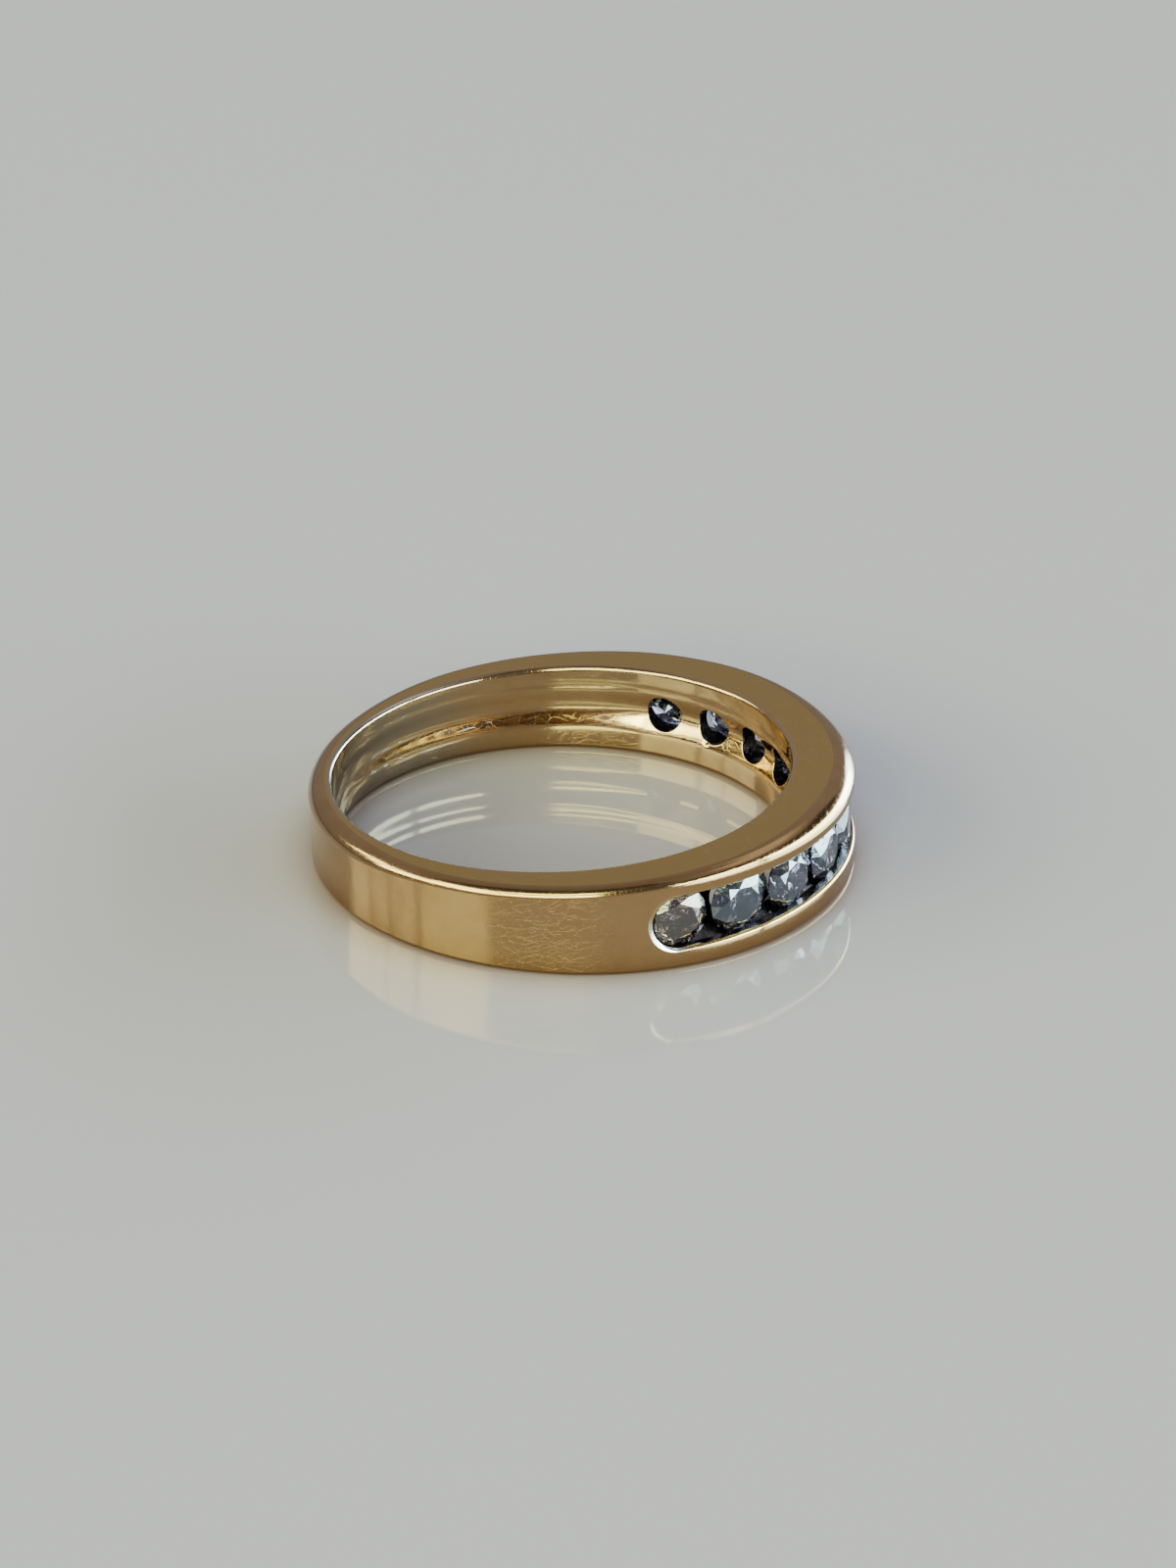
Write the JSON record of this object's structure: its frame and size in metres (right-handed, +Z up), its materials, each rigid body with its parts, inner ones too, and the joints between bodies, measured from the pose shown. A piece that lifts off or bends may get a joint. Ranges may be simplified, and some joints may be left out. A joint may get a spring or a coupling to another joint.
{
  "type": "diamond band",
  "caption": "Yellow gold half-eternity ring, wider and thicker at the head, with a row of round brilliants set in a channel and round windows behind them.",
  "frame": {"origin": "on the floor under the middle of the ring's outer circle", "axes": "+Z up from the side face that it lies on, +X from the back of the shank to the head with its stones"},
  "size_m": [0.0206, 0.0206, 0.0041],
  "materials": {
    "yellow_gold": "polished outside, inside and on the edges, satin on the side faces, white plated in the channel",
    "diamond": "faceted and polished"
  },
  "bodies": {
    "root": {"band": "yellow_gold", "diamond_01": "diamond", "diamond_02": "diamond", "diamond_03": "diamond", "diamond_04": "diamond", "diamond_05": "diamond", "diamond_06": "diamond", "diamond_07": "diamond", "diamond_08": "diamond", "diamond_09": "diamond", "diamond_10": "diamond"}
  },
  "joints": []
}
